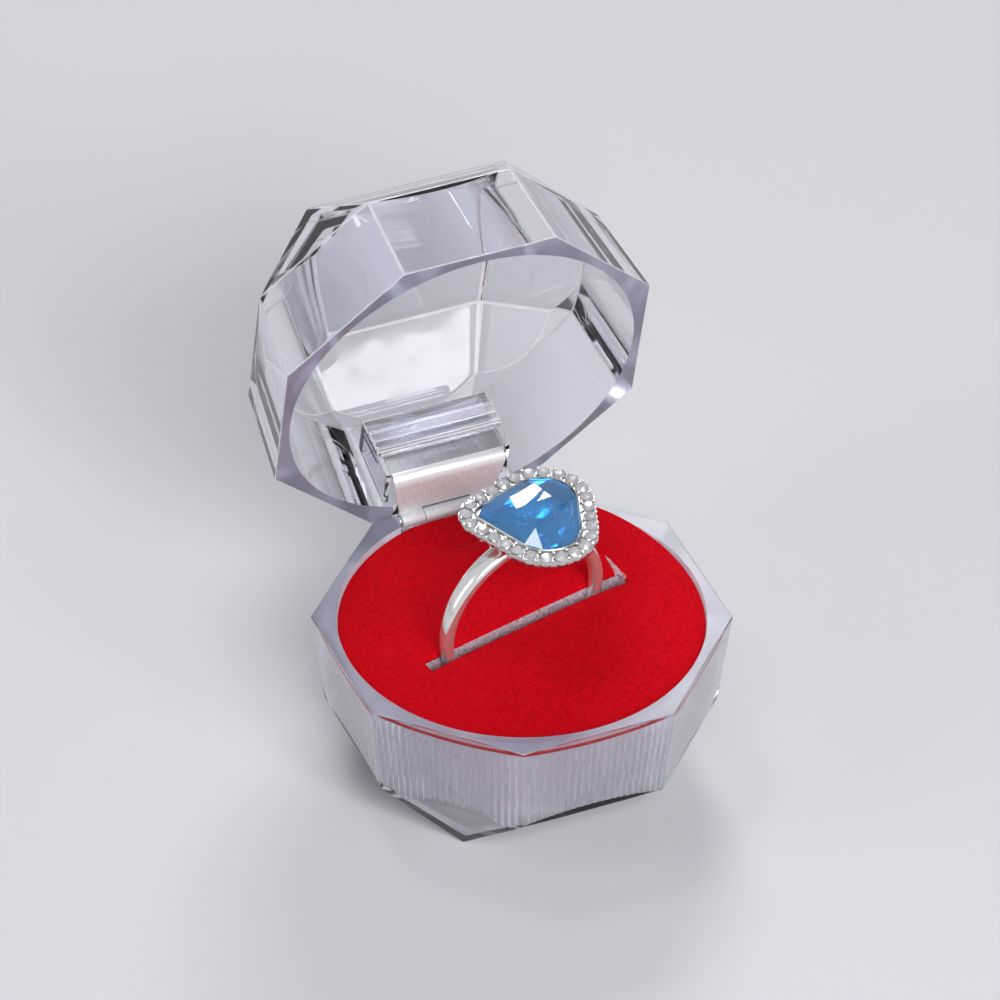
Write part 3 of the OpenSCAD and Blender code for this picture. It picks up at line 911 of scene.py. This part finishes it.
def setting_tree():
    """Sets one shape again and again along a closed line, each with its own small turn."""
    tree = bpy.data.node_groups.new("stones_in_a_row", "GeometryNodeTree")
    face = tree.interface
    sockets = {}
    for name, kind in (("Geometry", "NodeSocketGeometry"), ("Shape", "NodeSocketObject"),
                       ("Count", "NodeSocketInt"), ("Turn", "NodeSocketFloat"), ("Seed", "NodeSocketInt"),
                       ("Finish", "NodeSocketMaterial")):
        sockets[name] = face.new_socket(name, in_out="INPUT", socket_type=kind).identifier
    face.new_socket("Geometry", in_out="OUTPUT", socket_type="NodeSocketGeometry")
    nodes, links = tree.nodes, tree.links
    given = nodes.new("NodeGroupInput")
    result = nodes.new("NodeGroupOutput")
    line = nodes.new("GeometryNodeMeshToCurve")
    spaced = nodes.new("GeometryNodeResampleCurve")
    shape = nodes.new("GeometryNodeObjectInfo")
    placed = nodes.new("GeometryNodeInstanceOnPoints")
    real = nodes.new("GeometryNodeRealizeInstances")
    painted = nodes.new("GeometryNodeSetMaterial")
    turn = nodes.new("FunctionNodeRandomValue")
    turn.data_type = "FLOAT_VECTOR"
    shape.transform_space = "ORIGINAL"
    links.new(given.outputs["Geometry"], line.inputs[0])
    links.new(line.outputs[0], spaced.inputs["Curve"])
    links.new(given.outputs["Count"], spaced.inputs["Count"])
    links.new(spaced.outputs[0], placed.inputs["Points"])
    links.new(given.outputs["Shape"], shape.inputs["Object"])
    links.new(shape.outputs["Geometry"], placed.inputs["Instance"])
    for socket, reach in ((0, (-0.03, -0.03, 0)), (1, (0.03, 0.03, 1))):
        scaled = nodes.new("ShaderNodeVectorMath")
        scaled.operation = "SCALE"
        scaled.inputs[0].default_value = reach
        links.new(given.outputs["Turn"], scaled.inputs["Scale"])
        links.new(scaled.outputs[0], turn.inputs[socket])
    links.new(given.outputs["Seed"], turn.inputs["Seed"])
    links.new(turn.outputs[0], placed.inputs["Rotation"])
    links.new(placed.outputs[0], real.inputs[0])
    links.new(real.outputs[0], painted.inputs["Geometry"])
    links.new(given.outputs["Finish"], painted.inputs["Material"])
    links.new(painted.outputs[0], result.inputs[0])
    return tree, sockets


def set_along(name, tree_and_sockets, push, phase, height, shape, count, finish, turn, seed):
    """One row of the halo, as a plain mesh. The row is pushed out from the line of the stones."""
    tree, sockets = tree_and_sockets
    points = [(x + push * math.cos(a), y + push * math.sin(a), a)
              for x, y, a in stone_outline(HALO_OFFSET, count, phase)]
    mesh = bpy.data.meshes.new(name)
    place = Matrix.Scale(MM, 4) @ IN_RING
    mesh.from_pydata([place @ Vector((x, y, height)) for x, y, _ in points],
                     [(i, (i + 1) % len(points)) for i in range(len(points))], [])
    row = bpy.data.objects.new(name, mesh)
    bpy.context.scene.collection.objects.link(row)
    modifier = row.modifiers.new("row", "NODES")
    modifier.node_group = tree
    values = {"Shape": shape, "Count": count, "Turn": turn, "Seed": seed, "Finish": finish}
    for key, value in values.items():
        modifier[sockets[key]] = value
    settled(row)
    return row


def cut_stone_shape(radius):
    """A small round stone: table, two rings of crown facets, and a foiled point below."""
    def ring(r, z, shift):
        return [Vector((r * math.cos(math.pi / 4 * (i + shift)), r * math.sin(math.pi / 4 * (i + shift)), z))
                for i in range(8)]
    girdle = ring(radius, -0.04, 0) + ring(radius, 0.04, 0)
    points = girdle + ring(radius * 0.5, 0.34, 0.5) + [Vector((0, 0, -0.5))]
    faces = []
    for i in range(8):
        j = (i + 1) % 8
        faces += [[i, j, 8 + j, 8 + i], [8 + i, 8 + j, 16 + i], [16 + i, 8 + j, 16 + j], [i, 24, j]]
    faces.append([16 + i for i in range(8)])
    return object_from("small_stone", solid_from(points, faces))


def cup_shape():
    """The silver cup under a small stone."""
    section = ((0.66, -0.98), (0.79, -0.8), (0.81, -0.12), (0.77, -0.04), (0.71, -0.04), (0.3, -0.42))
    return crease(object_from("small_cup", lofted([circle_at(r, z, 20) for r, z in section])), 35)


def bead_shape():
    """A bead between two small stones."""
    shape = bmesh.new()
    bmesh.ops.create_icosphere(shape, subdivisions=2, radius=BEAD_R)
    return smooth(object_from("small_bead", shape))


# ---- finishes ----

def clear_plastic(name, colour, clearness, low, high):
    """Moulded plastic with a lavender cast. A smooth one also has slightly wavy faces."""
    material, nodes, links, shader = new_material(name)
    shader.inputs["Base Color"].default_value = (*colour, 1)
    shader.inputs["Transmission Weight"].default_value = clearness
    shader.inputs["IOR"].default_value = 1.52
    haze = noise_on(nodes, links, 0.35, 5)
    links.new(range_of(nodes, links, haze, low, high), shader.inputs["Roughness"])
    if high < 0.1:
        bump_from(nodes, links, shader, noise_on(nodes, links, 0.16, 1), 0.05, 0.3)
    return material


def steel_sheet(name, metallic, dark, light, low, high):
    """Brushed sheet, streaked along x."""
    material, nodes, links, shader = new_material(name)
    shader.inputs["Metallic"].default_value = metallic
    streaks = noise_on(nodes, links, 1.0, 6, (5.0, 1.1, 1.1), 0.8)
    links.new(ramp_of(nodes, links, streaks, ((0.3, dark), (0.7, light))), shader.inputs["Base Color"])
    links.new(range_of(nodes, links, streaks, low, high), shader.inputs["Roughness"])
    bump_from(nodes, links, shader, streaks, 0.03, 0.6)
    return material


def red_flock():
    """Red pile, worn to its backing where the pad is bare."""
    material, nodes, links, shader = new_material("red_flock")
    pile = noise_on(nodes, links, 2.2, 6, (1, 1, 1), 0.8)
    flock = ramp_of(nodes, links, pile, ((0.28, (0.42, 0.0, 0.004)), (0.55, (0.68, 0.0005, 0.008)),
                                         (0.8, (0.84, 0.008, 0.02))))
    backing = ramp_of(nodes, links, pile, ((0.35, (0.40, 0.10, 0.14)), (0.6, (0.72, 0.50, 0.55))))
    worn = nodes.new("ShaderNodeAttribute")
    worn.attribute_name = "bare"
    blend = nodes.new("ShaderNodeMix")
    blend.data_type = "RGBA"
    links.new(range_of(nodes, links, worn.outputs["Fac"], 0.0, 1.0, 0.35, 0.65), blend.inputs["Factor"])
    links.new(flock, blend.inputs["A"])
    links.new(backing, blend.inputs["B"])
    links.new(blend.outputs["Result"], shader.inputs["Base Color"])
    shader.inputs["Roughness"].default_value = 1.0
    shader.inputs["Specular IOR Level"].default_value = 0.1
    shader.inputs["Sheen Weight"].default_value = 0.15
    shader.inputs["Sheen Roughness"].default_value = 0.4
    shader.inputs["Sheen Tint"].default_value = (1.0, 0.04, 0.06, 1)
    bump_from(nodes, links, shader, pile, 0.12, 0.8)
    return material


def white_foam():
    """Granular foam."""
    material, nodes, links, shader = new_material("white_foam")
    cells = noise_on(nodes, links, 3.6, 5, (1, 1, 1), 0.85)
    links.new(ramp_of(nodes, links, cells, ((0.36, (0.26, 0.13, 0.17)), (0.5, (0.62, 0.46, 0.52)),
                                            (0.64, (0.93, 0.86, 0.90)))), shader.inputs["Base Color"])
    shader.inputs["Roughness"].default_value = 0.95
    bump_from(nodes, links, shader, cells, 0.15, 0.7)
    return material


def white_card():
    """Plain card with fibres."""
    material, nodes, links, shader = new_material("white_card")
    fibres = noise_on(nodes, links, 1.2, 5)
    links.new(ramp_of(nodes, links, fibres, ((0.3, (0.74, 0.73, 0.70)), (0.7, (0.86, 0.85, 0.83)))),
              shader.inputs["Base Color"])
    shader.inputs["Roughness"].default_value = 0.85
    return material


def polished_silver(name="polished_silver", low=0.08, high=0.2, colour=(0.80, 0.80, 0.78), metallic=0.82):
    """Silver or steel wire with slight wear."""
    material, nodes, links, shader = new_material(name)
    shader.inputs["Base Color"].default_value = (*colour, 1)
    shader.inputs["Metallic"].default_value = metallic
    wear = noise_on(nodes, links, 0.9, 4)
    links.new(range_of(nodes, links, wear, low, high), shader.inputs["Roughness"])
    return material


def cut_stone(name, colour, index, clearness=1.0):
    """A clear or coloured stone."""
    material, nodes, links, shader = new_material(name)
    shader.inputs["Transmission Weight"].default_value = clearness
    shader.inputs["IOR"].default_value = index
    cloud = noise_on(nodes, links, 0.5, 2)
    deep = tuple(c * 0.8 for c in colour)
    links.new(ramp_of(nodes, links, cloud, ((0.3, deep), (0.7, colour))), shader.inputs["Base Color"])
    shader.inputs["Roughness"].default_value = 0.01
    return material


def foil(name, colour, gloss):
    """The bright backing of a stone."""
    material, nodes, links, shader = new_material(name)
    shader.inputs["Metallic"].default_value = 1.0
    shade = noise_on(nodes, links, 0.4, 2)
    deep = tuple(c * 0.7 for c in colour)
    links.new(ramp_of(nodes, links, shade, ((0.3, deep), (0.7, colour))), shader.inputs["Base Color"])
    shader.inputs["Roughness"].default_value = gloss
    return material


def back_with(stone, front, back):
    """The faces that point down get the foil, the rest the stone."""
    stone.data.materials.clear()
    stone.data.materials.append(front)
    stone.data.materials.append(back)
    for poly in stone.data.polygons:
        poly.material_index = 1 if poly.normal.z < -0.15 else 0


def finish_with(thing, material, body, nodes):
    """Gives a piece its finish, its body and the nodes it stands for."""
    if material:
        thing.data.materials.clear()
        thing.data.materials.append(material)
    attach(thing, body)
    if nodes:
        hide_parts(*nodes)
    return thing


place_camera()
build_stage()

plastic = clear_plastic("clear_lavender_plastic", (0.89, 0.89, 0.945), 1.0, 0.0, 0.05)
# The rim's satin plastic is rough and partly clear, and its darker lavender grey is painted shade.
satin_rim_painted_shade = clear_plastic("satin_rim_painted_shade_plastic", (0.43, 0.43, 0.56), 0.62, 0.30, 0.38)
hazy = clear_plastic("hazy_ribbed_plastic", (0.92, 0.92, 1.0), 0.60, 0.28, 0.33)
# White, half-clear plastic for the rounded edges and ribs: a painted highlight.
ridge_painted_highlight = clear_plastic("ridge_painted_highlight_plastic", (0.97, 0.97, 1.0), 0.5, 0.08, 0.16)
finishes = [plastic, satin_rim_painted_shade, hazy, ridge_painted_highlight]
# The leaf's steel is darkened as painted shade.
leaf_painted_shade_steel = steel_sheet("brushed_steel_leaf_painted_shade", 1.0, (0.28, 0.28, 0.30), (0.49, 0.49, 0.52), 0.30, 0.40)
# The web's steel is lightened and nearly matt: painted light on the grainy sheet.
web_painted_light_steel = steel_sheet("grainy_steel_web_painted_light", 0.12, (0.70, 0.75, 0.77), (0.95, 1.0, 1.0), 0.4, 0.55)
# The bend's near-white steel is a painted highlight.
bend_painted_highlight_steel = steel_sheet("steel_bend_painted_highlight", 1.0, (0.86, 0.86, 0.87), (1.0, 1.0, 1.0), 0.3, 0.42)
silver = polished_silver()
dark_silver = polished_silver("dark_silver", 0.12, 0.26, (0.62, 0.62, 0.60), 1.0)
blue = cut_stone("blue_stone", (0.06, 0.46, 1.0), 1.75, 0.66)
blue_foil = foil("blue_foil", (0.55, 0.88, 1.0), 0.05)
clear = cut_stone("clear_stone", (0.99, 0.99, 1.0), 1.8, 0.6)
bright_foil = foil("bright_foil", (0.99, 0.99, 1.0), 0.08)

finish_with(make_base_shell(finishes), None, "base", ["base_shell"])
finish_with(make_lid_shell(finishes), None, "lid", ["lid_shell"])
lid_leaf = make_lid_leaf((leaf_painted_shade_steel, web_painted_light_steel, bend_painted_highlight_steel))
finish_with(lid_leaf, None, "lid", ["lid_hinge_leaf"])
# The base's sheet takes the web's painted light.
finish_with(make_base_leaf(), web_painted_light_steel, "base", ["base_hinge_leaf"])
wire = polished_silver("steel_wire", 0.2, 0.35, (0.6, 0.6, 0.62))
finish_with(make_pin(), wire, "base", ["hinge_pin"])
pad = finish_with(make_pad_cover(), red_flock(), "base", ["pad_cover"])
finish_with(make_foam(), white_foam(), "base", ["pad_foam"])
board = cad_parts["pad_board"]
board.data.materials.clear()
board.data.materials.append(white_card())

finish_with(make_band(), silver, "ring", ["ring_band"])
bezel_silver = polished_silver("bezel_silver", 0.3, 0.4, (0.5, 0.5, 0.48), 1.0)
finish_with(make_bezel(), bezel_silver, "ring", ["ring_bezel"])
rows = setting_tree()
plate = make_head()
cup, bead, small = cup_shape(), bead_shape(), cut_stone_shape(SMALL_STONE_R)
cups = set_along("ring_halo_cups", rows, 0, 0, PLATE_Z[1] + 0.02, cup, HALO_COUNT, silver, 0.0, 1)
finish_with(plate, dark_silver, "ring", ["ring_head"])
finish_with(cups, dark_silver, "ring", [])
stones = set_along("ring_halo_clear_stones", rows, 0, 0, PLATE_Z[1] + 0.06, small, HALO_COUNT, clear, 6.28, 4)
back_with(stones, clear, bright_foil)
finish_with(stones, None, "ring", ["ring_halo_stones"])
for side, label in ((-1, "inner"), (1, "outer")):
    beads = set_along("ring_beads_" + label, rows, BEAD_ROW_PUSH * side, 0.5, PLATE_Z[1] + 0.16, bead,
                      HALO_COUNT, silver, 0.0, 2)
    finish_with(beads, silver, "ring", ["ring_halo_beads"])
for thing in (cup, bead, small):
    bpy.data.objects.remove(thing)
gem = make_middle_stone()
back_with(gem, blue, blue_foil)
finish_with(gem, None, "ring", ["ring_middle_stone"])
